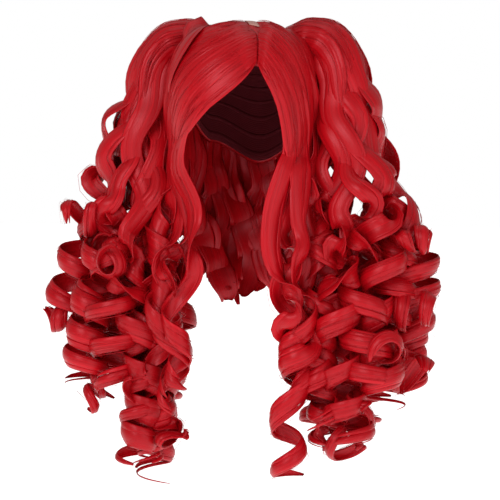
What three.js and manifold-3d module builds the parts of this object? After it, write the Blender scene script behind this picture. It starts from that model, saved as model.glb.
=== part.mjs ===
// A pigtail wig: a net cap with its sewn hair, and two clip-on ponytails of long curls.
// Millimetres, +Z up. The origin is the seat, the inside top of the cap. The face opening looks along -Y.
import * as THREE from 'three';
import { mergeVertices } from 'three/addons/utils/BufferGeometryUtils.js';
import Module from 'manifold-3d';

const wasm = await Module();
wasm.setup();

// Form that the cap is knitted to: half sizes of its inside, and its height above and below the widest level
const capHalfWidth = 76;
const capHalfLength = 97;
const capCrownHeight = 98;
const capLowerHeight = 132;
const capRoundness = 2.3;

// Layers from the inside outwards
const capWall = 1.6;
const layerGap = 0.4;
const crownThickness = 5.6;
const frontThickness = 5;
const frontEdgeThickness = 2.2;
const frontVolume = 6;
const frontSink = 1.5;

// Whole wig as it hangs
const fallLength = 590;
const reach = 250;
const hangDepth = 110;

// Locks and curls: a lock is flat and thins out from its root, and its tip narrows from the share tipStart on.
// A curl winds the tighter the nearer it is to its tip.
const lockWidth = 29;
const lockThickness = 5;
const lockRootThickness = 11;
const lockTipWidth = 0.45;
const lockTipStart = 0.82;
const curlRadius = 25;
const curlTightening = 1.15;

// Locks of the front hair: the angle that they face, where their root lies along the flow of the sheet, and the
// share of their length in which their waves open out
const frontTurn = 50;
const frontRoot = 0.82;
const frontOpening = 0.5;

// Clip-on ponytails
const tuftThickness = 34;
const tuftDepth = 48;
const tuftFluteDepth = 2.6;
const clipThickness = 3;
const clipLength = 58;
const clipWidth = 24;
const clipPlace = { turn: 113, drop: 45 };

// Curls of the ponytails: where they start in the tuft and leave it, as shares of its spine, the share of their
// length in which they open out, and where they bend, as shares of the way out and down to their end
const curlStart = 0.56;
const curlLeave = 0.76;
const curlCalm = 0.02;
const curlOpening = 0.42;
const curlBend = { out: 0.75, down: 0.35 };

// Parting: the ends of its line on the crown, as turn from the face and drop from the top, in degrees
const partingFront = { turn: 26, drop: 64 };
const partingCrown = { turn: 36, drop: 13 };
const partingGap = 0.6;
const partSkinWidth = 14;
const partSkinThickness = 1.2;
const partSkinStart = 0.68;

// Mesh fineness
const capSides = 24;
const capRings = 6;
const sheetRows = 7;
const sheetColumns = 7;
const partSkinRows = 4;
const tuftRings = 8;
const stepsPerTurn = 6;
const rootSteps = 3;
const backCapRows = 3;
const backHangRows = 6;
const clipRows = 4;

const crownInner = capWall + layerGap;
const crownOuter = crownInner + crownThickness;
const frontInner = crownOuter + layerGap;
const clipOuter = frontInner + clipThickness;
const centre = new THREE.Vector3(0, 0, -capCrownHeight);
const ahead = new THREE.Vector3(0, -1, 0);

const hairRed = { color: 0xb01222, roughness: 0.42, metalness: 0 };
const netRed = { color: 0x5c0d16, roughness: 0.85, metalness: 0 };
const clipBlack = { color: 0x1a1416, roughness: 0.4, metalness: 0 };
const skinTone = { color: 0xd8a898, roughness: 0.6, metalness: 0 };

// Where the cap ends: its drop from the top at each turn from the face, alike on both sides
const capEdge = [
  { turn: 0, drop: 57 },
  { turn: 32, drop: 65 },
  { turn: 62, drop: 85 },
  { turn: 82, drop: 102 },
  { turn: 104, drop: 96 },
  { turn: 132, drop: 108 },
  { turn: 180, drop: 121 },
];

// Flow of the front hair on each side of the parting. A row is one line of flow: from is where it leaves the
// parting, 0 at the front and 1 at the crown, and it bends by its middle turn and drop towards its end's.
const bangFlow = [
  { from: 0, midTurn: -2, midDrop: 86, endTurn: -40, endDrop: 104 },
  { from: 0.3, midTurn: -24, midDrop: 70, endTurn: -54, endDrop: 108 },
  { from: 0.6, midTurn: -46, midDrop: 56, endTurn: -68, endDrop: 108 },
  { from: 1, midTurn: -82, midDrop: 44, endTurn: -90, endDrop: 102 },
];
const sideFlow = [
  { from: 0, midTurn: 40, midDrop: 84, endTurn: 51, endDrop: 112 },
  { from: 0.4, midTurn: 56, midDrop: 66, endTurn: 66, endDrop: 112 },
  { from: 1, midTurn: 86, midDrop: 48, endTurn: 90, endDrop: 104 },
];

// Locks that the front hair falls into, on the left and on the right. across is where a lock leaves the sheet,
// 0 at the face. The places of its route are shares of reach, hangDepth and fallLength, and width and curl are
// shares of lockWidth and curlRadius.
const leftFrontLocks = [
  {
    across: 0.1, phase: 200, calm: 0.24, turns: 2.9, curl: 0.62, width: 1.05,
    route: [
      { out: 0.295, ahead: 0.62, drop: 0.3 },
      { out: 0.235, ahead: 0.74, drop: 0.4 },
      { out: 0.26, ahead: 0.8, drop: 0.54 },
      { out: 0.25, ahead: 0.8, drop: 0.66 },
      { out: 0.24, ahead: 0.78, drop: 0.78 },
    ],
  },
  {
    across: 0.5, phase: 140, calm: 0.26, turns: 3.1, curl: 0.7, width: 1,
    route: [
      { out: 0.34, ahead: 0.42, drop: 0.3 },
      { out: 0.32, ahead: 0.58, drop: 0.42 },
      { out: 0.33, ahead: 0.66, drop: 0.6 },
      { out: 0.34, ahead: 0.66, drop: 0.82 },
    ],
  },
];
const rightFrontLocks = [
  {
    across: 0.1, phase: 340, calm: 0.22, turns: 4.2, curl: 0.9, width: 1.05,
    route: [
      { out: 0.275, ahead: 0.7, drop: 0.3 },
      { out: 0.22, ahead: 0.8, drop: 0.4 },
      { out: 0.24, ahead: 0.84, drop: 0.53 },
      { out: 0.24, ahead: 0.84, drop: 0.66 },
      { out: 0.25, ahead: 0.84, drop: 0.8 },
      { out: 0.33, ahead: 0.8, drop: 0.97 },
    ],
  },
  {
    across: 0.5, phase: 60, calm: 0.26, turns: 3, curl: 0.7, width: 1,
    route: [
      { out: 0.34, ahead: 0.42, drop: 0.3 },
      { out: 0.325, ahead: 0.56, drop: 0.42 },
      { out: 0.34, ahead: 0.64, drop: 0.6 },
      { out: 0.34, ahead: 0.66, drop: 0.79 },
    ],
  },
];

// Back hair, a curtain of locks sewn round the cap from one side to the other: how high and how far round it is
// sewn, its length as shares of fallLength, and its waves.
const backTurn = 123;
const backTop = 62;
const backNape = 100;
const backLockCount = 7;
const backFall = { short: 0.55, long: 0.62 };
const backThickness = 9;
const backFluteDepth = 6;
const backWaveDepth = 9;
const backWaves = 2.2;

// Ponytail from the clip over its arch and down: out, back and up are shares of reach, hangDepth and fallLength,
// and thick and deep are shares of tuftThickness and tuftDepth, the half sizes of its section.
const tuftSpine = [
  { out: 0.17, back: 0.3, up: -0.042, thick: 0.42, deep: 0.42 },
  { out: 0.235, back: 0.29, up: -0.026, thick: 0.62, deep: 0.6 },
  { out: 0.315, back: 0.28, up: -0.024, thick: 0.86, deep: 0.78 },
  { out: 0.4, back: 0.26, up: -0.038, thick: 1, deep: 0.92 },
  { out: 0.47, back: 0.22, up: -0.08, thick: 1, deep: 1 },
  { out: 0.505, back: 0.17, up: -0.15, thick: 0.92, deep: 0.98 },
  { out: 0.545, back: 0.12, up: -0.22, thick: 0.82, deep: 0.88 },
  { out: 0.58, back: 0.06, up: -0.28, thick: 0.5, deep: 0.6 },
];

// Curls of each ponytail. root is the angle round the tuft, 0 outward and 90 ahead, and phase is where its
// turns start. out, ahead and drop place the end as in the front locks, and curl and width are shares of
// curlRadius and lockWidth.
const leftCurls = [
  { root: 0, phase: 290, out: 0.87, ahead: 0.05, drop: 0.76, curl: 1.05, turns: 4.8, width: 1 },
  { root: 50, phase: 45, out: 0.76, ahead: 0.58, drop: 0.84, curl: 1.05, turns: 4.7, width: 1.05 },
  { root: 95, phase: 165, out: 0.58, ahead: 0.68, drop: 0.84, curl: 1, turns: 4.6, width: 1.1 },
  { root: 145, phase: 90, out: 0.47, ahead: 0.12, drop: 0.97, curl: 1, turns: 5.4, width: 1.15 },
  { root: 200, phase: 250, out: 0.49, ahead: -0.6, drop: 0.82, curl: 0.95, turns: 4.6, width: 1.1 },
  { root: 255, phase: 10, out: 0.66, ahead: -0.92, drop: 0.76, curl: 1.05, turns: 4.3, width: 1.1 },
  { root: 308, phase: 140, out: 0.83, ahead: -0.58, drop: 0.81, curl: 1.05, turns: 4.7, width: 1.05 },
];
const rightCurls = [
  { root: 0, phase: 250, out: 0.85, ahead: 0.05, drop: 0.77, curl: 1.05, turns: 4.7, width: 1 },
  { root: 50, phase: 350, out: 0.74, ahead: 0.58, drop: 0.82, curl: 1.05, turns: 4.7, width: 1.05 },
  { root: 95, phase: 120, out: 0.56, ahead: 0.68, drop: 0.9, curl: 1, turns: 4.9, width: 1.1 },
  { root: 145, phase: 210, out: 0.46, ahead: 0.1, drop: 0.84, curl: 0.95, turns: 4.7, width: 1.1 },
  { root: 200, phase: 60, out: 0.49, ahead: -0.6, drop: 0.88, curl: 0.95, turns: 4.8, width: 1.1 },
  { root: 255, phase: 170, out: 0.65, ahead: -0.92, drop: 0.76, curl: 1.05, turns: 4.3, width: 1.1 },
  { root: 308, phase: 80, out: 0.81, ahead: -0.58, drop: 0.82, curl: 1.05, turns: 4.7, width: 1.05 },
];

const radians = THREE.MathUtils.degToRad;
const degrees = THREE.MathUtils.radToDeg;
const smooth = THREE.MathUtils.smoothstep;

function lerp(a, b, t) {
  return a + (b - a) * t;
}

// A value read off a table of rows by its key column, eased between rows.
function readTable(rows, key, at, column) {
  const next = Math.max(1, rows.findIndex((row) => row[key] >= at));
  const [low, high] = [rows[next - 1], rows[next]];
  return lerp(low[column], high[column], smooth(at, low[key], high[key]));
}

// A point of the cap's form by its turn from the face and its drop from the top, in degrees, lifted off it.
function capPoint(turn, drop, lift) {
  const [t, d] = [radians(turn), radians(drop)];
  const height = drop < 90 ? capCrownHeight : capLowerHeight;
  const ray = new THREE.Vector3(
    capHalfWidth * Math.sin(d) * Math.sin(t),
    -capHalfLength * Math.sin(d) * Math.cos(t),
    height * Math.cos(d),
  );
  const share = (value, half) => Math.abs(value / (half + lift)) ** capRoundness;
  const sum = share(ray.x, capHalfWidth) + share(ray.y, capHalfLength) + share(ray.z, height);
  return centre.clone().addScaledVector(ray, sum ** (-1 / capRoundness));
}

// A point of the crown above x and y.
function crownPoint(x, y, lift) {
  const width = Math.abs(x / (capHalfWidth + lift)) ** capRoundness;
  const length = Math.abs(y / (capHalfLength + lift)) ** capRoundness;
  const height = (capCrownHeight + lift) * (1 - width - length) ** (1 / capRoundness);
  return new THREE.Vector3(x, y, height - capCrownHeight);
}

// A place in the hanging hair from its shares, on the side that side gives.
function hangPoint(side, { out, ahead: forward, drop }) {
  return new THREE.Vector3(side * out * reach, -forward * hangDepth, -drop * fallLength);
}

// A closed geometry from points and triangles, wound so that its faces point out.
function closedGeometry(points, triangles) {
  const geometry = new THREE.BufferGeometry().setFromPoints(points);
  const volume = triangles.reduce((sum, [a, b, c]) => {
    const cross = new THREE.Vector3().crossVectors(points[b], points[c]);
    return sum + points[a].dot(cross);
  }, 0);
  const wound = volume < 0 ? triangles.map(([a, b, c]) => [a, c, b]) : triangles;
  geometry.setIndex(wound.flat());
  return geometry;
}

// A skin over rings of points, with a single point as the pole that closes each end.
function skin(rings) {
  const starts = rings.map((ring, i) => rings.slice(0, i).reduce((sum, r) => sum + r.length, 0));
  const at = (ring, i) => starts[ring] + (i % rings[ring].length);
  const triangles = [];
  for (let j = 0; j + 1 < rings.length; j++) {
    const [low, high] = [rings[j].length, rings[j + 1].length];
    for (let i = 0; i < Math.max(low, high); i++) {
      if (low > 1) triangles.push([at(j, i), at(j, i + 1), at(j + 1, i)]);
      if (high > 1) triangles.push([at(j, i + 1), at(j + 1, i + 1), at(j + 1, i)]);
    }
  }
  return closedGeometry(rings.flat(), triangles);
}

// A slab between two grids of points, closed round its border.
function slab(outer, inner) {
  const [rows, columns] = [outer.length, outer[0].length];
  const top = (r, c) => r * columns + c;
  const under = (r, c) => rows * columns + r * columns + c;
  const triangles = [];
  const quad = (a, b, c, d) => triangles.push([a, b, c], [a, c, d]);
  for (let r = 0; r + 1 < rows; r++) {
    for (let c = 0; c + 1 < columns; c++) {
      quad(top(r, c), top(r, c + 1), top(r + 1, c + 1), top(r + 1, c));
      quad(under(r, c), under(r + 1, c), under(r + 1, c + 1), under(r, c + 1));
    }
    quad(top(r, 0), top(r + 1, 0), under(r + 1, 0), under(r, 0));
    quad(top(r + 1, columns - 1), top(r, columns - 1), under(r, columns - 1), under(r + 1, columns - 1));
  }
  for (let c = 0; c + 1 < columns; c++) {
    quad(top(0, c + 1), top(0, c), under(0, c), under(0, c + 1));
    quad(top(rows - 1, c), top(rows - 1, c + 1), under(rows - 1, c + 1), under(rows - 1, c));
  }
  return closedGeometry([...outer.flat(), ...inner.flat()], triangles);
}

function toSolid(geometry) {
  const merged = mergeVertices(geometry, 1e-3);
  return new wasm.Manifold(new wasm.Mesh({
    numProp: 3,
    vertProperties: merged.attributes.position.array,
    triVerts: new Uint32Array(merged.index.array),
  }));
}

// A solid's geometry, with the bubbles that crossing locks shut in filled.
function toGeometry(solid) {
  const bodies = solid.decompose().filter((body) => body.volume() > 0);
  const mesh = wasm.Manifold.union(bodies).getMesh();
  const geometry = new THREE.BufferGeometry();
  geometry.setAttribute('position', new THREE.BufferAttribute(mesh.vertProperties, 3));
  geometry.setIndex(new THREE.BufferAttribute(mesh.triVerts, 1));
  return geometry;
}

// One ring of the cap's form at a share of the way from the top to the edge that the table gives, and past the
// edge, for shares over 1, from there to the bottom.
function capRing(share, lift) {
  return Array.from({ length: capSides }, (_, i) => {
    const turn = (i * 360) / capSides;
    const edge = readTable(capEdge, 'turn', Math.min(turn, 360 - turn), 'drop');
    return capPoint(turn, share < 1 ? edge * share : lerp(edge, 180, share - 1), lift);
  });
}

// A wall on the cap's form between two lifts, from the top to its edge.
function capLayer(inside, outside) {
  const shares = Array.from({ length: capRings }, (_, j) => (j + 1) / capRings);
  return skin([
    [capPoint(0, 0, outside)],
    ...shares.map((share) => capRing(share, outside)),
    ...shares.toReversed().map((share) => capRing(share, inside)),
    [capPoint(0, 0, inside)],
  ]);
}

// All the space inside a lift from the cap's form, on the same facets, which what lies over it is kept out of.
function capBlank(lift) {
  const shares = Array.from({ length: 2 * capRings - 1 }, (_, j) => (j + 1) / capRings);
  const rings = shares.map((share) => capRing(share, lift));
  return toSolid(skin([[capPoint(0, 0, lift)], ...rings, [capPoint(0, 180, lift)]]));
}

// A point of one side's front hair: along goes from the parting to the end of the flow, across from the front
// to the crown. The line of flow is a quadratic curve in turn and drop.
function frontPoint(flow, side, along, across, lift) {
  const bend = (start, mid, end) => (
    start * (1 - along) ** 2 + 2 * mid * along * (1 - along) + end * along ** 2
  );
  const start = {
    turn: lerp(partingFront.turn, partingCrown.turn, across),
    drop: lerp(partingFront.drop, partingCrown.drop, across),
  };
  const read = (column) => readTable(flow, 'from', across, column);
  const turn = bend(start.turn, read('midTurn'), read('endTurn'));
  const drop = bend(start.drop, read('midDrop'), read('endDrop'));
  const rise = frontVolume * Math.sin((Math.PI * along) / 1.6);
  const point = capPoint(turn, drop, lift + rise);
  const gap = partingGap + (partSkinWidth / 2) * smooth(across, 0.45, 0.65);
  point.x += side * gap * (1 - along) ** 2;
  return point;
}

// The sheet of front hair on one side. A margin grows it all round, for what has to stay clear of it.
function frontSheet(flow, side, margin) {
  const gridAt = (level) => Array.from({ length: sheetRows }, (_, r) => (
    Array.from({ length: sheetColumns }, (_, c) => {
      const across = c / (sheetColumns - 1);
      const thickness = lerp(frontThickness, frontEdgeThickness, smooth(across, 0.7, 1));
      const lift = frontInner + level * (thickness + margin) - (1 - level) * frontSink;
      return frontPoint(flow, side, r / (sheetRows - 1), across * (1 + margin / capHalfLength), lift);
    })
  ));
  return toSolid(slab(gridAt(1), gridAt(0)));
}

// The bare strip of scalp cloth at the crown end of the parting.
function partSkin() {
  const half = partSkinWidth / 2 - layerGap;
  const shares = Array.from({ length: partSkinRows }, (_, r) => lerp(partSkinStart, 1, r / (partSkinRows - 1)));
  const gridAt = (lift) => shares.map((share) => [-1, 0, 1].map((side) => {
    const turn = lerp(partingFront.turn, partingCrown.turn, share);
    const drop = lerp(partingFront.drop, partingCrown.drop, share);
    const middle = capPoint(turn, drop, lift);
    return crownPoint(middle.x + side * half, middle.y, lift);
  }));
  const strip = toSolid(slab(gridAt(frontInner + partSkinThickness), gridAt(frontInner - frontSink)));
  return toGeometry(strip.subtract(capBlank(frontInner)));
}

// Sections along one lock. Its route is a curve, and its hair goes round the route at an angle that starts at
// phase, 0 outward and 90 ahead, holds to the share calm and then makes its turns, while the curl opens out.
// Its flat side faces the angle root at first, and then away from the route.
function lockSections(lock, steps) {
  const route = new THREE.CatmullRomCurve3(lock.points, false, 'centripetal');
  const placeAt = (share) => {
    const along = route.getTangentAt(share);
    const front = ahead.clone().addScaledVector(along, -ahead.dot(along)).normalize();
    const outer = new THREE.Vector3().crossVectors(front, along).multiplyScalar(lock.side);
    const turned = Math.max(0, share - lock.calm) / (1 - lock.calm);
    const round = (angle) => (
      outer.clone().multiplyScalar(Math.cos(angle)).addScaledVector(front, Math.sin(angle))
    );
    const off = round(radians(lock.phase) + 2 * Math.PI * lock.turns * turned ** curlTightening);
    const open = smooth(share, lock.calm, lock.calm + lock.opening);
    const point = route.getPointAt(share).addScaledVector(off, lock.radius * open);
    return { off: round(radians(lock.root)).lerp(off, smooth(share, 0.1, 0.4)), point };
  };
  const nudge = 0.004;
  return Array.from({ length: steps + 1 }, (_, i) => {
    const share = i / steps;
    const { off, point } = placeAt(share);
    const along = placeAt(Math.min(1, share + nudge)).point;
    along.sub(placeAt(Math.max(0, share - nudge)).point).normalize();
    const flat = off.addScaledVector(along, -off.dot(along)).normalize();
    const across = new THREE.Vector3().crossVectors(along, flat);
    const tip = lerp(1, lockTipWidth, smooth(share, lockTipStart, 1));
    const thickness = lerp(lockRootThickness, lockThickness, smooth(share, 0.05, 0.5));
    return { point, flat, across, width: lock.width * tip, thickness: thickness * tip };
  });
}

// One lock as a flat ribbon of hair. A margin grows its section. Its corners are taken the way that its curl
// turns, so that the faces between two sections bulge outwards.
function lockSolid(lock, margin = 0) {
  const sections = lockSections(lock, Math.ceil(rootSteps + lock.turns * stepsPerTurn));
  const corners = [[1, 1], [-1, 1], [-1, -1], [1, -1]];
  if (lock.side > 0) corners.reverse();
  const rings = sections.map(({ point, flat, across, width, thickness }) => (
    corners.map(([w, t]) => point.clone()
      .addScaledVector(across, w * (width / 2 + margin))
      .addScaledVector(flat, t * (thickness / 2 + margin)))
  ));
  return toSolid(skin([[sections[0].point], ...rings, [sections.at(-1).point]]));
}

// Front hair of one side: the sheet from the parting, fused with the locks that it falls into.
function frontSolid(flow, side, locks, margin) {
  const middle = frontInner + frontThickness / 2;
  const falls = locks.map(({ across, route, phase, calm, turns, curl, width }) => lockSolid({
    points: [
      frontPoint(flow, side, frontRoot, across, middle),
      frontPoint(flow, side, 1, across, middle),
      ...route.map((place) => hangPoint(side, place)),
    ],
    side,
    opening: frontOpening,
    root: frontTurn,
    phase,
    calm,
    turns,
    radius: curl * curlRadius,
    width: width * lockWidth,
  }, margin));
  return wasm.Manifold.union([frontSheet(flow, side, margin), ...falls]);
}

// The spine of one ponytail's tuft, and its section's half sizes and directions at a share of the spine.
function tuftFrame(side) {
  const points = tuftSpine.map(({ out, back, up }) => (
    new THREE.Vector3(side * out * reach, back * hangDepth, up * fallLength)
  ));
  const spine = new THREE.CatmullRomCurve3(points, false, 'centripetal');
  const rows = tuftSpine.map((row, i) => ({ ...row, at: i / (tuftSpine.length - 1) }));
  return (share) => {
    const along = spine.getTangent(share);
    const front = ahead.clone().addScaledVector(along, -ahead.dot(along)).normalize();
    return {
      middle: spine.getPoint(share),
      front,
      outer: new THREE.Vector3().crossVectors(front, along).multiplyScalar(side),
      thick: tuftThickness * readTable(rows, 'at', share, 'thick'),
      deep: tuftDepth * readTable(rows, 'at', share, 'deep'),
    };
  };
}

function tuftPoint(frame, angle, inset) {
  return frame.middle.clone()
    .addScaledVector(frame.outer, (frame.thick - inset) * Math.cos(angle))
    .addScaledVector(frame.front, (frame.deep - inset) * Math.sin(angle));
}

// The smooth upper part of a ponytail, fluted between its locks.
function tuftSolid(side, curls) {
  const frame = tuftFrame(side);
  const sides = 2 * curls.length;
  const ringAt = (share) => Array.from({ length: sides }, (_, i) => (
    tuftPoint(frame(share), (2 * Math.PI * i) / sides, (i % 2) * tuftFluteDepth)
  ));
  const shares = Array.from({ length: tuftRings }, (_, j) => j / (tuftRings - 1));
  return toSolid(skin([[frame(0).middle], ...shares.map(ringAt), [frame(1).middle]]));
}

// One curl of a ponytail: it leaves the tuft's lower part and hangs to the end that its row gives.
function curlSolid(side, row) {
  const frame = tuftFrame(side);
  const root = radians(row.root);
  const start = tuftPoint(frame(curlStart), root, lockRootThickness);
  const mid = tuftPoint(frame(curlLeave), root, lockRootThickness / 2);
  const end = hangPoint(side, row);
  const bend = mid.clone().lerp(end, curlBend.out);
  bend.z = lerp(mid.z, end.z, curlBend.down);
  return lockSolid({
    points: [start, mid, bend, end],
    side,
    opening: curlOpening,
    root: row.root,
    phase: row.phase,
    calm: curlCalm,
    turns: row.turns,
    radius: row.curl * curlRadius,
    width: row.width * lockWidth,
  });
}

// A ponytail lies on its clip, on the crown and against the hair in front of it and behind it.
function ponytail(side, curls, inFront) {
  const parts = [tuftSolid(side, curls), ...curls.map((row) => curlSolid(side, row))];
  return toGeometry(wasm.Manifold.union(parts)
    .subtract(capBlank(clipOuter + layerGap))
    .subtract(clip(side, 2 * layerGap))
    .subtract(inFront)
    .subtract(backHair(2 * layerGap)));
}

// A claw clip, closed flat on the crown under the ponytail's root.
function clip(side, margin) {
  const [rows, columns] = [clipRows, 2];
  const ringRadius = capHalfLength * Math.sin(radians(clipPlace.drop));
  const gridAt = (lift) => Array.from({ length: rows }, (_, r) => (
    Array.from({ length: columns }, (_, c) => {
      const turn = degrees(((clipLength + 2 * margin) / ringRadius) * (r / (rows - 1) - 0.5));
      const drop = degrees(((clipWidth + 2 * margin) / capCrownHeight) * (c / (columns - 1) - 0.5));
      return capPoint(side * (clipPlace.turn + turn), clipPlace.drop + drop, lift);
    })
  ));
  return toSolid(slab(gridAt(clipOuter + margin), gridAt(frontInner - frontSink)));
}

// The back hair: a fluted curtain that follows the cap to the nape and then hangs in waves. Each second column
// lies deeper and ends higher. A margin grows it all round.
function backHair(margin) {
  const columns = 2 * backLockCount + 1;
  const falls = Array.from({ length: backCapRows }, (_, i) => (
    lerp(backTop - margin, backNape, i / (backCapRows - 1))
  ));
  const hangs = Array.from({ length: backHangRows }, (_, i) => (i + 1) / backHangRows);
  const columnAt = (c, level) => {
    const turn = lerp(backTurn - margin, 360 - backTurn + margin, c / (columns - 1));
    const deep = (c + 1) % 2;
    const flute = backThickness + backFluteDepth * (1 - deep);
    const lift = frontInner + level * (flute + margin) - (1 - level) * (frontSink + margin);
    const onCap = falls.map((fall) => capPoint(turn, fall, lift));
    const nape = onCap.at(-1);
    const outward = new THREE.Vector3(nape.x, nape.y, 0).normalize();
    const end = -fallLength * (deep ? backFall.short : backFall.long) - margin;
    const hanging = hangs.map((share) => {
      const wave = Math.sin(2 * Math.PI * backWaves * share + c);
      const point = nape.clone().addScaledVector(outward, backWaveDepth * wave * share);
      point.z = lerp(nape.z, end, share);
      return point;
    });
    return [...onCap, ...hanging];
  };
  const gridAt = (level) => Array.from({ length: columns }, (_, c) => columnAt(c, level));
  return toSolid(slab(gridAt(1), gridAt(0)));
}

const wig = new THREE.Group();

function add(name, geometry, finish) {
  const mesh = new THREE.Mesh(geometry, new THREE.MeshStandardMaterial(finish));
  mesh.name = name;
  wig.add(mesh);
}

const blank = capBlank(frontInner);
const sides = [
  { name: 'left', side: -1, front: 'swept_bangs', flow: bangFlow, locks: leftFrontLocks, curls: leftCurls },
  { name: 'right', side: 1, front: 'side_front_hair', flow: sideFlow, locks: rightFrontLocks, curls: rightCurls },
];

add('wig_cap', toGeometry(toSolid(capLayer(0, capWall))), netRed);
add('crown_hair', toGeometry(toSolid(capLayer(0, crownOuter)).subtract(capBlank(crownInner))), hairRed);
add('parting_skin', partSkin(), skinTone);
add('back_hair', toGeometry(backHair(0).subtract(blank)), hairRed);
sides.forEach(({ name, side, front, flow, locks, curls }) => {
  add(front, toGeometry(frontSolid(flow, side, locks, 0).subtract(blank)), hairRed);
  add(`${name}_clip`, toGeometry(clip(side, 0).subtract(blank)), clipBlack);
  add(`${name}_pigtail`, ponytail(side, curls, frontSolid(flow, side, locks, 2 * layerGap)), hairRed);
});

export default wig;
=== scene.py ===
# A pigtail wig in red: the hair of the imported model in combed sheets, locks and curls, for a studio picture.
# Places and sizes are in millimetres, as the model's source has them, and meshes are made in metres.
import bpy
import numpy as np
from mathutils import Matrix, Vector


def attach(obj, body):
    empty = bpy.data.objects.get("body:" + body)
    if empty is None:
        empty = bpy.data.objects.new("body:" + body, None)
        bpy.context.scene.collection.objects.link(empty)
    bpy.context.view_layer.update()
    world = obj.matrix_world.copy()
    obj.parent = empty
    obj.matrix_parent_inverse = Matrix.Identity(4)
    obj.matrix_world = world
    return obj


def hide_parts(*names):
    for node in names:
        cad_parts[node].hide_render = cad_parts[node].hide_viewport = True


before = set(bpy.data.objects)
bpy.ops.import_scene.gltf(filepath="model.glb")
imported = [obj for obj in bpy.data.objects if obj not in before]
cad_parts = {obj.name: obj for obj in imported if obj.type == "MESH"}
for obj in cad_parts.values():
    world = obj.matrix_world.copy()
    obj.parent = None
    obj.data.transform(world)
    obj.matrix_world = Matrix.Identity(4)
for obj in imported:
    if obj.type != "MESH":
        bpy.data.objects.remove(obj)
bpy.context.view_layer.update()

mm = 0.001
ahead = np.array([0.0, -1.0, 0.0])

# The form that the cap is knitted to, and its layers from the inside outwards
cap = dict(halfWidth=76, halfLength=97, crownHeight=98, lowerHeight=132, roundness=2.3, wall=1.6, gap=0.4,
           crownThickness=5.6)
cap["frontInner"] = cap["wall"] + cap["crownThickness"] + 2 * cap["gap"]
capEdge = [dict(turn=0, drop=57), dict(turn=32, drop=65), dict(turn=62, drop=85), dict(turn=82, drop=102),
           dict(turn=104, drop=96), dict(turn=132, drop=108), dict(turn=180, drop=121)]

# The wig as it hangs, and the parting on its crown, from the face to the top
hang = dict(reach=250, depth=110, fall=590)
parting = dict(turn=(26, 36), drop=(64, 13), gap=0.6, clothWidth=14, clothStart=0.68, clothThickness=1.2)


def lerp(a, b, t):
    return a + (b - a) * t


# 0 below low, 1 above high and an S-shaped cubic between them.
def smooth(x, low, high):
    t = np.clip((np.asarray(x, float) - low) / (high - low), 0, 1)
    return t * t * (3 - 2 * t)


def unit(v):
    return v / np.linalg.norm(v, axis=-1, keepdims=True)


def dot(a, b):
    return (a * b).sum(-1, keepdims=True)


# A value read off a table of rows by its key column, eased between rows.
def readTable(rows, key, at, column):
    keys, values = (np.array([row[name] for row in rows], float) for name in (key, column))
    upper = np.clip(np.searchsorted(keys, at), 1, len(keys) - 1)
    share = smooth((at - keys[upper - 1]) / (keys[upper] - keys[upper - 1]), 0, 1)
    return lerp(values[upper - 1], values[upper], share)


# A ray from the form's centre at a turn from the face and a drop from the top, in degrees, cut where the sum of
# |coordinate / (half size + lift)| to the power of the roundness is 1.
def capPoint(turn, drop, lift):
    turn, drop, lift = np.broadcast_arrays(*(np.asarray(v, float) for v in (turn, drop, lift)))
    t, d = np.radians(turn), np.radians(drop)
    height = np.where(drop < 90, cap["crownHeight"], cap["lowerHeight"])
    half = np.stack([np.full(t.shape, cap["halfWidth"]), np.full(t.shape, cap["halfLength"]), height], -1)
    ray = half * np.stack([np.sin(d) * np.sin(t), -np.sin(d) * np.cos(t), np.cos(d)], -1)
    reach = (np.abs(ray / (half + lift[..., None])) ** cap["roundness"]).sum(-1, keepdims=True)
    return ray * reach ** (-1 / cap["roundness"]) - [0, 0, cap["crownHeight"]]


def hangPoint(side, out, forward, drop):
    return np.array([side * out * hang["reach"], -forward * hang["depth"], -drop * hang["fall"]])


# A centripetal Catmull-Rom curve: on each span a Hermite cubic whose end slopes weigh the neighbouring chords by
# the square roots of their lengths. It comes back with the running length at each of its fine points.
def smoothCurve(points, fine=48):
    p = np.asarray(points, float)
    p = np.vstack([2 * p[0] - p[1], p, 2 * p[-1] - p[-2]])
    t = np.linspace(0, 1, fine, endpoint=False)[:, None]
    spans = []
    for a, b, c, d in zip(p, p[1:], p[2:], p[3:]):
        ka, kb, kc = (np.linalg.norm(v) ** 0.5 for v in (b - a, c - b, d - c))
        leave = ((b - a) / ka - (c - a) / (ka + kb) + (c - b) / kb) * kb
        arrive = ((c - b) / kb - (d - b) / (kb + kc) + (d - c) / kc) * kb
        spans.append((2 * t**3 - 3 * t**2 + 1) * b + (t**3 - 2 * t**2 + t) * leave
                     + (3 * t**2 - 2 * t**3) * c + (t**3 - t**2) * arrive)
    curve = np.vstack(spans + [p[-2][None]])
    return curve, np.r_[0, np.cumsum(np.linalg.norm(np.diff(curve, axis=0), axis=1))]


def alongCurve(curve, length, at):
    return np.stack([np.interp(at, length, curve[:, k]) for k in range(3)], -1)


# Low ridges that run along the hair: a sum of sines across it, each of which drifts slowly sideways on its way.
# x is the place across in mm and s the share of the way.
def ridges(x, s, rng, periods, depth, count=7, drift=1.2):
    height = np.zeros(np.broadcast(x, s).shape)
    for period in np.exp(rng.uniform(np.log(periods[0]), np.log(periods[1]), count)):
        phase, sway, pace = rng.uniform(0, 2 * np.pi, 3)
        height += period * np.sin(2 * np.pi * x / period + phase + drift * np.sin(pace * s + sway))
    return height * depth / (periods[1] * count ** 0.5)


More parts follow.
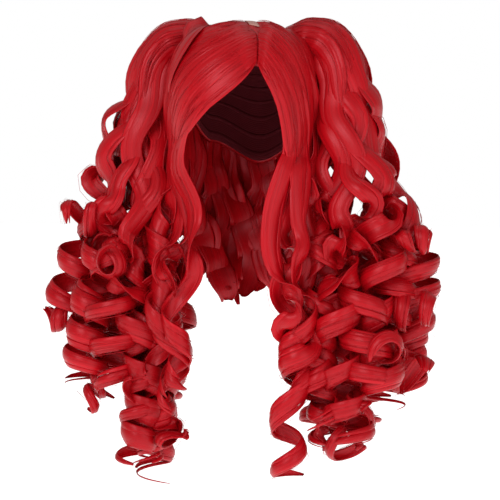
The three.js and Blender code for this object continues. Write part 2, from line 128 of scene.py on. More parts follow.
# Closed tubes gathered into one mesh: rings of points with a pole at both ends, a UV map in mm across and along,
# and a tone for each tube.
class Bundle:
    def __init__(self):
        self.points, self.quads, self.tris, self.quadUvs, self.triUvs, self.tones = [], [], [], [], [], []
        self.size = 0

    # rings is rows by sides by xyz, across is the place round each ring in mm, with its first one again at the
    # end, and along the length at each row.
    def add(self, rings, across, along, tone):
        rows, sides = rings.shape[:2]
        poles = np.stack([rings[0].mean(0), rings[-1].mean(0)])
        index = self.size + np.arange(rows * sides).reshape(rows, sides)
        wrapped = np.concatenate([index, index[:, :1]], 1)
        quads = np.stack([wrapped[:-1, :-1], wrapped[:-1, 1:], wrapped[1:, 1:], wrapped[1:, :-1]], -1)
        u, v = np.broadcast_arrays(across, along[:, None])
        uv = np.stack([u, v], -1)
        quadUv = np.stack([uv[:-1, :-1], uv[:-1, 1:], uv[1:, 1:], uv[1:, :-1]], -2)
        low, high = self.size + rows * sides, self.size + rows * sides + 1
        first, last = wrapped[0], wrapped[-1]
        tris = np.concatenate([
            np.stack([first[1:], first[:-1], np.full(sides, low)], -1),
            np.stack([last[:-1], last[1:], np.full(sides, high)], -1)])
        triUv = np.concatenate([
            np.stack([uv[0, 1:], uv[0, :-1], (uv[0, 1:] + uv[0, :-1]) / 2], -2),
            np.stack([uv[-1, :-1], uv[-1, 1:], (uv[-1, 1:] + uv[-1, :-1]) / 2], -2)])
        a, b, c = (rings[:-1], np.roll(rings, -1, 1)[:-1], np.roll(rings, -1, 1)[1:])
        centre = rings.mean((0, 1))
        volume = ((a - centre) * np.cross(b - centre, c - centre)).sum()
        quads, quadUv = quads.reshape(-1, 4), quadUv.reshape(-1, 4, 2)
        if volume < 0:
            quads, quadUv, tris, triUv = quads[:, ::-1], quadUv[:, ::-1], tris[:, ::-1], triUv[:, ::-1]
        self.points += [rings.reshape(-1, 3), poles]
        self.quads.append(quads)
        self.tris.append(tris)
        self.quadUvs.append(quadUv)
        self.triUvs.append(triUv)
        self.tones.append(np.full(rows * sides + 2, tone))
        self.size += rows * sides + 2

    # The object, which rides on the root body and stands for a node of the model.
    def finish(self, name, material, node, slot):
        mesh = bpy.data.meshes.new(name)
        points = np.concatenate(self.points) * mm
        quads, tris = np.concatenate(self.quads), np.concatenate(self.tris)
        mesh.vertices.add(len(points))
        mesh.vertices.foreach_set("co", points.ravel())
        mesh.loops.add(quads.size + tris.size)
        mesh.loops.foreach_set("vertex_index", np.r_[quads.ravel(), tris.ravel()].astype(np.int32))
        starts = np.r_[np.arange(len(quads)) * 4, quads.size + np.arange(len(tris)) * 3].astype(np.int32)
        mesh.polygons.add(len(starts))
        mesh.polygons.foreach_set("loop_start", starts)
        mesh.polygons.foreach_set("use_smooth", np.ones(len(starts), bool))
        uvs = np.concatenate([np.concatenate(self.quadUvs).reshape(-1, 2),
                              np.concatenate(self.triUvs).reshape(-1, 2)])
        mesh.uv_layers.new(name="UVMap").data.foreach_set("uv", uvs.ravel())
        mesh.attributes.new("tone", "FLOAT", "POINT").data.foreach_set("value", np.concatenate(self.tones))
        mesh.update(calc_edges=True)
        mesh.materials.append(material)
        piece = bpy.data.objects.new(name, mesh)
        bpy.context.scene.collection.objects.link(piece)
        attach(piece, "root")
        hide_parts(node)
        bundles.append((name, 2 * len(quads) + len(tris)))
        return piece


bundles = []


# A flat oval section carried along a lock. Its two faces are columns of points from edge to edge, of the height
# (1 - x^2) to the power 0.35, with ridges that fade out to the edges, and the whole section is cupped by x^2.
def ribbon(bundle, path, width, thick, columns, rng, tone, ridge=0.5, periods=(2.6, 8), cup=0.0):
    x = np.sin(np.linspace(-0.5, 0.5, columns) * np.pi)
    height = np.clip(1 - x**2, 0, 1) ** 0.35
    s = path["share"][:, None]
    place = x * width[:, None] / 2
    bow = cup * (0.4 - x**2)
    upper = bow + height * (thick[:, None] / 2 + ridges(place, s, rng, periods, ridge))
    lower = bow - height * (thick[:, None] / 2 + ridges(place, s, rng, periods, ridge))
    across = np.concatenate([place, place[:, -2:0:-1]], 1)
    flat = np.concatenate([upper, lower[:, -2:0:-1]], 1)
    rings = (path["centre"][:, None] + across[..., None] * path["across"][:, None]
             + flat[..., None] * path["flat"][:, None])
    step = np.r_[0, np.cumsum(np.abs(np.diff(x)))] * np.median(width) / 2
    around = np.r_[step, step[-1] + step[1:]] + rng.uniform(0, 900)
    bundle.add(rings, around, path["along"] + rng.uniform(0, 900), tone)


# A thin lock of few hairs: a three-sided tube that thins out to its tip.
def wisp(bundle, centre, along, thickness, rng, tone):
    tangent = unit(np.gradient(centre, axis=0))
    first = unit(np.cross(tangent, [0.31, 0.24, 0.92]))
    second = np.cross(tangent, first)
    angle = np.arange(3) * 2 * np.pi / 3
    share = np.linspace(0, 1, len(centre))
    radius = thickness / 2 * np.sqrt(np.clip(1.02 - smooth(share, 0.55, 1), 0.05, 1))[:, None]
    rings = (centre[:, None] + (radius * np.cos(angle))[..., None] * first[:, None]
             + (radius * np.sin(angle))[..., None] * second[:, None])
    bundle.add(rings, np.linspace(0, 1.2, 4) + rng.uniform(0, 900), along + rng.uniform(0, 900), tone)


# Slow sideways wander of a strand on its way: three sines of random pace.
def wander(s, rng, pace=3):
    paces, phases = rng.uniform(0.4, 1, 3) * pace, rng.uniform(0, 2 * np.pi, 3)
    return sum(np.sin(2 * np.pi * p * s + q) for p, q in zip(paces, phases)) / 2


# The part of a path up to a share of its way, and how far its hair has thinned out there: 1, and from 3.5%
# before the end a square root down to a point.
def cutTip(path, high):
    keep = path["share"] <= high
    part = {name: value[keep] for name, value in path.items()}
    return part, np.sqrt(np.clip((high - part["share"]) / 0.035, 0.03, 1))


# The path moved sideways in its own frame.
def shifted(path, across, flat):
    moved = dict(path)
    moved["centre"] = path["centre"] + across[:, None] * path["across"] + flat[:, None] * path["flat"]
    return moved


lockStyle = dict(
    width=24, thickness=4.4, rootThickness=7.5, rootWidth=1.25, tipWidth=0.55, tipStart=0.88, radius=25,
    evenness=0.5,
    fineRows=700, rowLength=18, rowTurn=21, columns=11, bodyShare=0.62, bodyWidth=0.84, ridge=0.16,
    ridgePeriods=(2, 6), cup=3.2, bands=2, bandPlace=1.5, bandDrift=0.13, bandWidth=(0.26, 0.4),
    bandThickness=1.8,
    bandColumns=5, bandLift=0.5, wavePeriod=0.29,
    irregular=1.1, sway=10, twist=0.4, uneven=0.22, wisps=9, wispThickness=(0.4, 0.95), strays=5,
    strayReach=8,
)


# The numbers of the fine rows to keep on a path: one for each rowLength of way and one for each rowTurn of bend.
def neededRows(centre):
    step = np.diff(centre, axis=0)
    bend = np.degrees(np.arccos(np.clip(dot(unit(step[:-1]), unit(step[1:])), -1, 1)))[:, 0]
    need = np.linalg.norm(step, axis=1) / lockStyle["rowLength"] + np.r_[0, bend] / lockStyle["rowTurn"]
    total = np.r_[0, np.cumsum(need)]
    wanted = np.linspace(0, total[-1], int(total[-1]) + 2)
    return np.round(np.interp(wanted, total, np.arange(len(total)))).astype(int)


# One lock: its hair goes round its route at an angle that holds to the share calm and then makes its turns, the
# closer the nearer to its tip, while its curl opens out to its radius. Its flat side faces the angle root at first
# and then away from the route. The points before the one numbered start are its way through the tuft. After them it
# swings in a loose wave, a sine out of the route and half a cosine forwards, that dies out as the curl opens.
def lockPath(points, side, start, calm, turns, opening, radius, phase, root, rng, ripple=0.0, level=ahead):
    curve, length = smoothCurve(points)
    begin = length[start * 48]
    at = np.linspace(0, length[-1], lockStyle["fineRows"])
    s = (at - begin) / (length[-1] - begin)
    route = alongCurve(curve, length, at)
    along = unit(np.gradient(route, axis=0))
    front = unit(level - along * dot(along, level))
    outer = np.cross(front, along) * side
    around = lambda angle: outer * np.cos(angle)[:, None] + front * np.sin(angle)[:, None]
    turned = np.clip(s - calm, 0, None) / (1 - calm)
    turned = turned * lerp(lockStyle["evenness"], 1, turned) + lockStyle["evenness"] * np.minimum(s, 0)
    irregular = lockStyle["irregular"] * smooth(s, 0.1, 0.4)
    angle = np.radians(phase) + 2 * np.pi * turns * turned + irregular * wander(s, rng, 3)
    off = around(angle)
    opened = radius * smooth(s, calm, calm + opening) * (1 + lockStyle["uneven"] * wander(s, rng, 3))
    sway = lockStyle["sway"] * smooth(s, 0.1, 0.5)
    faced = np.radians(root) + 0 * s
    aside = ripple * smooth(s, 0, 0.2) * (1 - smooth(s, calm, calm + opening))
    wave = np.radians(phase) + 2 * np.pi * s / lockStyle["wavePeriod"]
    centre = (route + off * opened[:, None] + (aside * np.sin(wave))[:, None] * outer
              + (0.5 * aside * np.cos(wave))[:, None] * front
              + (sway * wander(s, rng, 2))[:, None] * outer + (sway * wander(s, rng, 2))[:, None] * front)
    turning = smooth(s, calm + 0.3 * opening, calm + opening)
    nearest = np.round((np.interp(calm + opening, s, angle) - faced) / (2 * np.pi))
    facing = around(lerp(faced + 2 * np.pi * nearest, angle, turning))
    tangent = unit(np.gradient(centre, axis=0))
    flat = unit(facing - tangent * dot(facing, tangent))
    path = dict(centre=centre, flat=flat, across=np.cross(tangent, flat), share=s, along=at)
    kept = neededRows(centre)
    return {name: value[kept] for name, value in path.items()}


# The path with its frame turned about its way by an angle.
def tilted(path, angle):
    cos, sin = np.cos(angle)[:, None], np.sin(angle)[:, None]
    return dict(path, flat=cos * path["flat"] + sin * path["across"],
                across=cos * path["across"] - sin * path["flat"])


# The hair of one lock: a smooth cupped body, a narrower band along each edge that drifts in and out and follows
# the cup, and thin wisps at its surface, a few of which stray. They end at different places, so that the tip frays.
def lockHair(bundle, path, width, rng, thin=1.0, wisps=1.0, fadeIn=0.0):
    s = path["share"]
    grown = smooth(s, s[0] - 0.001, s[0] + fadeIn) if fadeIn else np.ones(len(s))
    tip = lerp(1, lockStyle["tipWidth"], smooth(s, lockStyle["tipStart"], 1))
    thick = lerp(lockStyle["rootThickness"], lockStyle["thickness"], smooth(s, 0.05, 0.5)) * tip * thin
    thick = thick * lerp(0.15, 1, grown)
    widths = width * tip * lerp(0.5, 1, grown) * (1 + 0.12 * wander(s, rng, 2))
    widths = widths * lerp(lockStyle["rootWidth"], 1, smooth(s, 0, 0.35))
    tone = rng.uniform(0.3, 0.7)
    twist = lockStyle["twist"] * smooth(s, 0.2, 0.5) * wander(s, rng, 2)
    path = tilted(path, twist)
    ridge = lockStyle["ridge"] * lerp(3, 1, smooth(s, 0, 0.45))[:, None]
    cup = lockStyle["cup"] * lerp(0.2, 1, smooth(s, 0.05, 0.45))
    body, end = cutTip(path, rng.uniform(0.97, 0.99))
    ribbon(bundle, body, widths[:len(end)] * lockStyle["bodyWidth"] * end,
           thick[:len(end)] * lockStyle["bodyShare"] * end,
           lockStyle["columns"], rng, tone, ridge[:len(end)], lockStyle["ridgePeriods"], cup[:len(end), None])
    spread = 1 + 0.1 * smooth(s, 0.84, 1)
    count = lockStyle["bands"]
    for k in range(count):
        place = ((k + 0.5) / count - 0.5) * lockStyle["bandPlace"] + rng.uniform(-0.04, 0.04)
        across = place * spread + lockStyle["bandDrift"] * wander(s, rng)
        lift = lockStyle["bandLift"] * wander(s, rng, 4) + cup * (0.4 - 4 * across**2)
        leaned = tilted(path, np.arctan(8 * cup * across / widths))
        moved = dict(leaned, centre=shifted(path, widths * across, lift)["centre"])
        moved, end = cutTip(moved, rng.uniform(0.94, 1.0))
        share = rng.uniform(*lockStyle["bandWidth"])
        ribbon(bundle, moved, widths[:len(end)] * share * end, lockStyle["bandThickness"] * end,
               lockStyle["bandColumns"], rng, tone + rng.uniform(-0.25, 0.25), 0.2)
    for k in range(int(lockStyle["wisps"] * wisps)):
        stray = k < lockStyle["strays"]
        reach = lockStyle["strayReach"] * smooth(s, 0, 0.5) if stray else 1.0
        place = rng.uniform(-0.5, 0.5)
        face = rng.choice([-1, 1, 1])
        sideways = widths * place * spread + reach * wander(s, rng, 2.5)
        lift = face * (thick * 0.42 + 0.4) + (0.3 + 0.5 * reach) * wander(s, rng, 2.5)
        centre = shifted(path, sideways, lift)["centre"]
        low = rng.uniform(0, 0.35) * len(s)
        high = rng.uniform(0.9, 1) * len(s)
        keep = slice(int(low), int(high), 2)
        thickness = rng.uniform(*lockStyle["wispThickness"]) * (0.6 if stray else 1)
        wisp(bundle, centre[keep], path["along"][keep], thickness, rng, rng.uniform(0.2, 1))


# Flow of the front hair on each side of the parting, and the locks that it falls into
fronts = {
    "swept_bangs": dict(
        side=-1,
        flow=[dict(at=0, midTurn=-2, midDrop=86, endTurn=-40, endDrop=104),
              dict(at=0.3, midTurn=-24, midDrop=70, endTurn=-54, endDrop=108),
              dict(at=0.6, midTurn=-46, midDrop=56, endTurn=-68, endDrop=108),
              dict(at=1, midTurn=-82, midDrop=44, endTurn=-90, endDrop=102)],
        locks=[dict(across=0.1, phase=200, calm=0.24, turns=2.9, curl=0.62, width=0.98,
                    route=[(0.295, 0.62, 0.3), (0.235, 0.74, 0.4), (0.26, 0.8, 0.54), (0.25, 0.8, 0.66),
                           (0.24, 0.78, 0.78)]),
               dict(across=0.5, phase=140, calm=0.26, turns=3.1, curl=0.7, width=1,
                    route=[(0.34, 0.42, 0.3), (0.32, 0.58, 0.42), (0.33, 0.66, 0.6), (0.34, 0.66, 0.82)]),
               dict(across=0.3, phase=30, calm=0.25, turns=3.4, curl=0.65, width=0.9,
                    route=[(0.32, 0.52, 0.3), (0.3, 0.64, 0.42), (0.34, 0.72, 0.56), (0.37, 0.72, 0.76)]),
               dict(across=0.75, phase=90, calm=0.26, turns=2.6, curl=0.5, width=1.1,
                    route=[(0.37, 0.28, 0.3), (0.35, 0.4, 0.42), (0.36, 0.46, 0.56), (0.37, 0.46, 0.7)])]),
    "side_front_hair": dict(
        side=1,
        flow=[dict(at=0, midTurn=40, midDrop=84, endTurn=51, endDrop=112),
              dict(at=0.4, midTurn=56, midDrop=66, endTurn=66, endDrop=112),
              dict(at=1, midTurn=86, midDrop=48, endTurn=90, endDrop=104)],
        locks=[dict(across=0.1, phase=340, calm=0.22, turns=5.3, curl=0.8, width=1.05,
                    route=[(0.275, 0.7, 0.3), (0.23, 0.8, 0.4), (0.26, 0.84, 0.53), (0.28, 0.84, 0.66),
                           (0.3, 0.84, 0.8), (0.37, 0.8, 0.965)]),
               dict(across=0.5, phase=60, calm=0.26, turns=3.6, curl=0.75, width=1,
                    route=[(0.34, 0.42, 0.3), (0.3, 0.6, 0.42), (0.3, 0.68, 0.6), (0.32, 0.7, 0.8)]),
               dict(across=0.3, phase=150, calm=0.25, turns=4, curl=0.8, width=0.95,
                    route=[(0.33, 0.58, 0.3), (0.33, 0.7, 0.42), (0.38, 0.76, 0.58), (0.42, 0.76, 0.84)]),
               dict(across=0.75, phase=60, calm=0.26, turns=2.6, curl=0.5, width=1.1,
                    route=[(0.37, 0.28, 0.3), (0.35, 0.4, 0.42), (0.36, 0.46, 0.56), (0.37, 0.46, 0.7)])]),
}
frontStyle = dict(
    thickness=5, edgeThickness=2.2, volume=6, reach=120, rows=56, columns=120, ridge=0.42,
    bands=16, bandWidth=(7, 15), bandThickness=2, wisps=90, wispThickness=(0.35, 0.6), turn=50, root=0.55,
    opening=0.5,
)


# A point of one side's front hair: along goes down the flow and across from the face to the crown. Each line of
# flow is a quadratic curve in turn and drop, on the cap's form and lifted off it by a half wave.
def frontPoint(front, along, across, lift):
    along, across = np.broadcast_arrays(along, across)
    turn, drop = (lerp(*parting[name], across) for name in ("turn", "drop"))
    read = lambda column: readTable(front["flow"], "at", across, column)
    bend = lambda start, mid, end: start * (1 - along)**2 + 2 * mid * along * (1 - along) + end * along**2
    turn = bend(turn, read("midTurn"), read("endTurn"))
    drop = bend(drop, read("midDrop"), read("endDrop"))
    point = capPoint(turn, drop, lift + frontStyle["volume"] * np.sin(np.pi * along / 1.6))
    gap = parting["gap"] + parting["clothWidth"] / 2 * smooth(across, 0.45, 0.65)
    point[..., 0] += front["side"] * gap * (1 - along)**2
    return point


# The combed sheet from the parting down, closed round its border, with bands and wisps that follow its flow.
def frontSheet(bundle, front, rng):
    style = frontStyle
    x = np.linspace(0, 1, style["columns"])
    place = x * style["reach"]
    ragged = 0.96 + 0.07 * np.sin(place * 0.9 + 2 * np.sin(place * 0.31)) * np.sin(place * 0.23)
    along = np.linspace(0, 1, style["rows"])[:, None]
    down = along * ragged
    thickness = lerp(style["thickness"], style["edgeThickness"], smooth(x, 0.7, 1))
    thickness = thickness * (1 - 0.92 * smooth(along, 0.6, 1)) * lerp(0.2, 1, smooth(along, 0, 0.14))
    edge = np.clip(np.minimum(x, 1 - x) * 26, 0, 1) ** 0.5
    outside = thickness * edge + edge * ridges(place, along, rng, (2.6, 10), style["ridge"], drift=0.8)
    outer = frontPoint(front, down, x, cap["frontInner"] + outside)
    inner = frontPoint(front, down, x, cap["frontInner"] + 0 * along)
    length = np.r_[0, np.cumsum(np.linalg.norm(np.diff(outer[:, len(x) // 2], axis=0), axis=1))]
    rings = np.concatenate([outer, inner[:, -2:0:-1]], 1)
    bundle.add(rings, np.r_[place, place[-1] + place[1:]], length, 0.5)
    for k in range(style["bands"]):
        middle = (k + 0.5) / style["bands"] + rng.uniform(-0.02, 0.02)
        path = flowPath(front, np.clip(middle + 0.02 * wander(along[:, 0], rng, 1), 0.03, 0.97),
                        along[:, 0] * rng.uniform(0.98, 1.12),
                        style["thickness"] * lerp(0.1, 0.8, smooth(along[:, 0], 0.02, 0.3))
                        + 0.3 * wander(along[:, 0], rng, 1.5))
        fade = np.sqrt(smooth(along[:, 0], -0.02, 0.3)) * (1 - 0.8 * smooth(along[:, 0], 0.8, 1))
        ribbon(bundle, path, rng.uniform(*style["bandWidth"]) * fade, style["bandThickness"] * fade, 7, rng,
               rng.uniform(0.35, 0.65), 0.2)
    for k in range(style["wisps"]):
        middle = rng.uniform(0, 1) ** 1.3 + 0.025 * wander(along[:, 0], rng, 1)
        keep = slice(int(rng.uniform(0, 12)), None, 2)
        lift = (style["thickness"] * lerp(0.3, 0.95, smooth(along[:, 0], 0, 0.2)) + 0.2
                + 0.5 * wander(along[:, 0], rng, 1.5))
        path = flowPath(front, np.clip(middle, 0.004, 0.99), along[:, 0], lift)
        wisp(bundle, path["centre"][keep], path["along"][keep], rng.uniform(*style["wispThickness"]), rng,
             rng.uniform(0.2, 1))


# A path down the flow of a sheet, with its flat side off the cap.
def flowPath(front, across, along, lift):
    centre = frontPoint(front, along, across, cap["frontInner"] + lift)
    over = frontPoint(front, along, across, cap["frontInner"] + lift + 5)
    tangent = unit(np.gradient(centre, axis=0))
    flat = unit(over - centre)
    flat = unit(flat - tangent * dot(flat, tangent))
    length = np.r_[0, np.cumsum(np.linalg.norm(np.diff(centre, axis=0), axis=1))]
    return dict(centre=centre, flat=flat, across=np.cross(tangent, flat), share=along, along=length)


# A lock of the front hair, which starts inside the sheet and leaves it at its end.
def frontLock(bundle, front, lock, rng):
    middle = cap["frontInner"] + frontStyle["thickness"] * 0.6
    lead = [frontPoint(front, np.array(share), np.array(lock["across"]), middle)
            for share in (frontStyle["root"], 0.7, 0.82, 1.0)]
    lead[0] = frontPoint(front, np.array(frontStyle["root"]), np.array(lock["across"]), cap["frontInner"])
    path = lockPath(lead + [hangPoint(front["side"], *place) for place in lock["route"]], front["side"], 2,
                    lock["calm"], lock["turns"], frontStyle["opening"], lock["curl"] * lockStyle["radius"],
                    lock["phase"], frontStyle["turn"], rng)
    lockHair(bundle, path, lock["width"] * lockStyle["width"], rng, fadeIn=0.42)


# Ponytail from the clip over its arch and down, and its curls
tuft = dict(
    thickness=34, depth=48, rows=64, columns=150, ridge=0.6, flute=3.5, wisps=46, lead=(0.2, 0.32, 0.44),
    start=0.56, leave=0.76, calm=0.3, opening=0.34, bendOut=0.5, bendDown=0.27, ripple=13,
)
tuftSpine = [
    dict(out=0.17, back=0.3, up=-0.042, thick=0.42, deep=0.42),
    dict(out=0.235, back=0.29, up=-0.026, thick=0.62, deep=0.6),
    dict(out=0.315, back=0.28, up=-0.024, thick=0.86, deep=0.78),
    dict(out=0.4, back=0.26, up=-0.038, thick=1, deep=0.92),
    dict(out=0.47, back=0.22, up=-0.08, thick=1, deep=1),
    dict(out=0.505, back=0.17, up=-0.15, thick=0.92, deep=0.98),
    dict(out=0.55, back=0.12, up=-0.22, thick=1.04, deep=0.94),
    dict(out=0.6, back=0.06, up=-0.29, thick=0.84, deep=0.76),
]


def curlRows(*rows):
    return [dict(zip(("root", "phase", "out", "ahead", "drop", "curl", "turns", "width"), row))
            for row in rows]


pigtails = {
    "left": dict(side=-1, curls=curlRows(
        (22, 130, 0.9, 0.1, 0.64, 1.1, 4.6, 1.1), (50, 45, 0.78, 0.55, 0.77, 1, 6, 1.05),
        (95, 165, 0.5, 0.7, 0.95, 1, 7, 1.1), (145, 90, 0.45, 0.3, 0.98, 0.9, 7.4, 1.15),
        (200, 250, 0.49, -0.6, 0.84, 0.95, 6.2, 1.1), (255, 10, 0.66, -0.92, 0.74, 1.05, 5.6, 1.1),
        (308, 140, 0.84, -0.55, 0.8, 1.1, 6.2, 1.05)),
        inner=curlRows(
            (4, 170, 0.82, 0.2, 0.72, 0.9, -5.4, 1.05), (72, 280, 0.67, 0.66, 0.82, 1.15, -5.4, 0.9),
            (120, 20, 0.43, 0.5, 0.96, 0.8, -7, 1), (172, 140, 0.52, -0.1, 0.93, 1, -6.6, 0.95),
            (228, 330, 0.58, -0.6, 0.8, 0.9, -6, 0.9), (340, 60, 0.72, 0.1, 0.78, 0.9, -6, 0.9),
            (108, 230, 0.5, 0.55, 0.88, 0.8, -6.4, 0.9))),
    "right": dict(side=1, curls=curlRows(
        (18, 250, 0.9, 0.1, 0.72, 1.1, 5.6, 1), (50, 350, 0.77, 0.58, 0.8, 1, 6.2, 1.05),
        (95, 120, 0.6, 0.7, 0.9, 1, 6.6, 1.1), (145, 210, 0.44, 0.4, 0.86, 0.9, 6.6, 1.1),
        (200, 60, 0.49, -0.6, 0.86, 0.95, 6.4, 1.1), (255, 170, 0.65, -0.92, 0.76, 1.05, 5.8, 1.1),
        (308, 80, 0.82, -0.55, 0.8, 1.1, 6.2, 1.05)),
        inner=curlRows(
            (4, 130, 0.8, 0.2, 0.68, 0.9, -5.2, 1.05), (72, 220, 0.69, 0.66, 0.8, 1.15, -5.4, 0.9),
            (120, 300, 0.48, 0.55, 0.9, 0.8, -7, 0.95), (172, 20, 0.55, -0.15, 0.88, 1, -6.6, 0.9),
            (228, 100, 0.58, -0.6, 0.8, 0.9, -6, 0.9), (340, 330, 0.7, 0.1, 0.78, 0.9, -6, 0.9),
            (108, 40, 0.42, 0.62, 0.76, 0.75, -5.6, 0.9))),
}


def tipRows(*rows):
    names = ("out", "ahead", "drop", "toOut", "toAhead", "toDrop", "curl", "turns", "phase", "width")
    return [dict(zip(names, row)) for row in rows]


# Tips that curl out of the mass, from a place inside it to their end: forwards, so that their rings are seen end
# on, or sideways
tips = {
    "left": dict(side=-1, forward=tipRows(
        (0.6, 0.1, 0.47, 0.66, 0.95, 0.49, 0.8, 2.2, 40, 0.75),
        (0.5, 0.1, 0.74, 0.47, 0.85, 0.79, 0.7, 2, 200, 0.7)),
        sideways=tipRows(
            (0.6, 0.4, 0.4, 0.88, 0.5, 0.42, 0.7, 2.4, 60, 0.7),
            (0.7, 0.3, 0.6, 1.01, 0.3, 0.64, 0.75, 2.2, 300, 0.8),
            (0.55, 0.3, 0.7, 0.82, 0.5, 0.81, 0.55, 2.6, 30, 0.5),
            (0.42, 0.5, 0.86, 0.3, 0.7, 0.88, 0.6, 1.8, 30, 0.7))),
    "right": dict(side=1, forward=tipRows(
        (0.7, 0.1, 0.66, 0.79, 0.9, 0.7, 0.75, 2.2, 120, 0.75),
        (0.6, 0.1, 0.8, 0.67, 0.85, 0.835, 0.95, 1.6, 20, 0.6),
        (0.45, 0.2, 0.8, 0.5, 0.8, 0.84, 0.6, 2, 250, 0.6)),
        sideways=tipRows(
            (0.62, 0.4, 0.44, 0.96, 0.4, 0.47, 0.75, 2.2, 20, 0.8),
            (0.7, 0.3, 0.58, 0.97, 0.3, 0.61, 0.75, 2, 200, 0.8),
            (0.66, 0.4, 0.68, 0.95, 0.4, 0.74, 0.75, 2.2, 80, 0.75),
            (0.42, 0.6, 0.84, 0.62, 0.7, 0.9, 0.6, 2, 80, 0.6))),
}


def tipPath(side, row, level, rng):
    low = hangPoint(side, row["out"], row["ahead"], row["drop"])
    high = hangPoint(side, row["toOut"], row["toAhead"], row["toDrop"])
    return lockPath([low, lerp(low, high, 0.5), high], side, 0, 0, row["turns"], 0.5,
                    row["curl"] * lockStyle["radius"],
                    row["phase"], row["phase"], rng, level=level)


# Locks of a ponytail that fall over the side of the front hair: turn and drop place them on the cap, and then out,
# ahead and drop as in the front locks
over = dict(lift=12, width=33, calm=0.12, opening=0.4)
overLocks = {
    "left": dict(side=-1, locks=[
        dict(onCap=[(108, 33), (80, 34), (62, 41), (54, 54), (62, 70), (73, 84), (80, 98)], root=25,
             phase=60, turns=3, curl=0.55,
             route=[(0.36, 0.24, 0.27), (0.37, 0.42, 0.37), (0.4, 0.52, 0.5), (0.41, 0.55, 0.68)]),
        dict(onCap=[(114, 35), (92, 36), (77, 43), (72, 56), (79, 70), (86, 83), (90, 96)], root=5,
             phase=200, turns=3.2, curl=0.6,
             route=[(0.39, 0.12, 0.27), (0.41, 0.3, 0.37), (0.45, 0.45, 0.5), (0.46, 0.5, 0.7)])]),
    "right": dict(side=1, locks=[
        dict(onCap=[(116, 33), (98, 35), (86, 43), (81, 56), (83, 70), (89, 84), (90, 97)], root=10,
             phase=300, turns=3, curl=0.55,
             route=[(0.38, 0.12, 0.27), (0.38, 0.34, 0.37), (0.4, 0.5, 0.5), (0.42, 0.56, 0.68)]),
        dict(onCap=[(122, 35), (110, 36), (99, 44), (95, 56), (97, 70), (100, 84), (100, 97)], root=0,
             phase=80, turns=3.2, curl=0.6,
             route=[(0.41, 0.0, 0.27), (0.42, 0.2, 0.37), (0.46, 0.4, 0.5), (0.48, 0.48, 0.7)])]),
}


def overPath(side, row, rng):
    onCap = [capPoint(np.array(side * turn), np.array(drop), cap["frontInner"] + over["lift"] * min(k, 3) / 3)
             for k, (turn, drop) in enumerate(row["onCap"])]
    route = [hangPoint(side, *place) for place in row["route"]]
    return lockPath([*onCap, *route], side, len(onCap) - 1, over["calm"], row["turns"], over["opening"],
                    row["curl"] * lockStyle["radius"], row["phase"], row["root"], rng, 4)


# The spine's points, directions and half sizes at shares of its points' count.
def tuftFrame(side, share):
    share = np.atleast_1d(np.asarray(share, float))
    points = [(side * row["out"] * hang["reach"], row["back"] * hang["depth"], row["up"] * hang["fall"])
              for row in tuftSpine]
    curve, _ = smoothCurve(points)
    at = np.linspace(0, 1, len(curve))
    middle = alongCurve(curve, at, share)
    along = unit(alongCurve(unit(np.gradient(curve, axis=0)), at, share))
    front = unit(ahead - along * dot(along, ahead))
    rows = [dict(row, at=i / (len(tuftSpine) - 1)) for i, row in enumerate(tuftSpine)]
    half = [tuft[size] * readTable(rows, "at", share, column)
            for size, column in (("thickness", "thick"), ("depth", "deep"))]
    return dict(middle=middle, front=front, outer=np.cross(front, along) * side, thick=half[0], deep=half[1])


# A point on the tuft's oval section at an angle, 0 outward and 90 ahead, in radians, and an inset from its skin.
def tuftPoint(spine, angle, inset):
    out = (spine["thick"] - inset) * np.cos(angle)
    forward = (spine["deep"] - inset) * np.sin(angle)
    return spine["middle"] + out[:, None] * spine["outer"] + forward[:, None] * spine["front"]


# The smooth combed upper part of a ponytail: its skin has ridges along the hair, and between its locks it is
# fluted the deeper the further down it is.
def tuftHair(bundle, side, curls, rng):
    share = np.linspace(0, 1, tuft["rows"])[:, None]
    spine = tuftFrame(side, share[:, 0])
    angle = np.linspace(0, 2 * np.pi, tuft["columns"], endpoint=False)
    place = angle * 42
    roots = np.radians([curl["root"] for curl in curls])
    nearest = np.abs((angle[:, None] - roots + np.pi) % (2 * np.pi) - np.pi).min(1)
    flute = tuft["flute"] * smooth(nearest, 0.1, 0.44) * smooth(share, 0.35, 0.9)
    ridge = ridges(place, share, rng, (2 * np.pi * 42 / 96, 2 * np.pi * 42 / 24), tuft["ridge"], 9)
    inset = flute + 1.2 + ridge * np.abs(np.sin(angle / 2)) ** 0.2
    rings = (spine["middle"][:, None]
             + ((spine["thick"][:, None] - inset) * np.cos(angle))[..., None] * spine["outer"][:, None]
             + ((spine["deep"][:, None] - inset) * np.sin(angle))[..., None] * spine["front"][:, None])
    length = np.r_[0, np.cumsum(np.linalg.norm(np.diff(spine["middle"], axis=0), axis=1))]
    bundle.add(rings, np.r_[place, 2 * np.pi * 42], length, 0.45)
    for k in range(tuft["wisps"]):
        turn = rng.uniform(0, 2 * np.pi) + 0.12 * wander(share[:, 0], rng, 1)
        inset = 0.4 + 0.9 * wander(share[:, 0], rng, 1.5) * smooth(share[:, 0], 0, 0.3)
        centre = tuftPoint(spine, turn, inset)
        keep = slice(int(rng.uniform(0, 20)), int(rng.uniform(44, 64)), 2)
        wisp(bundle, centre[keep], length[keep], rng.uniform(*lockStyle["wispThickness"]), rng,
             rng.uniform(0.2, 1))


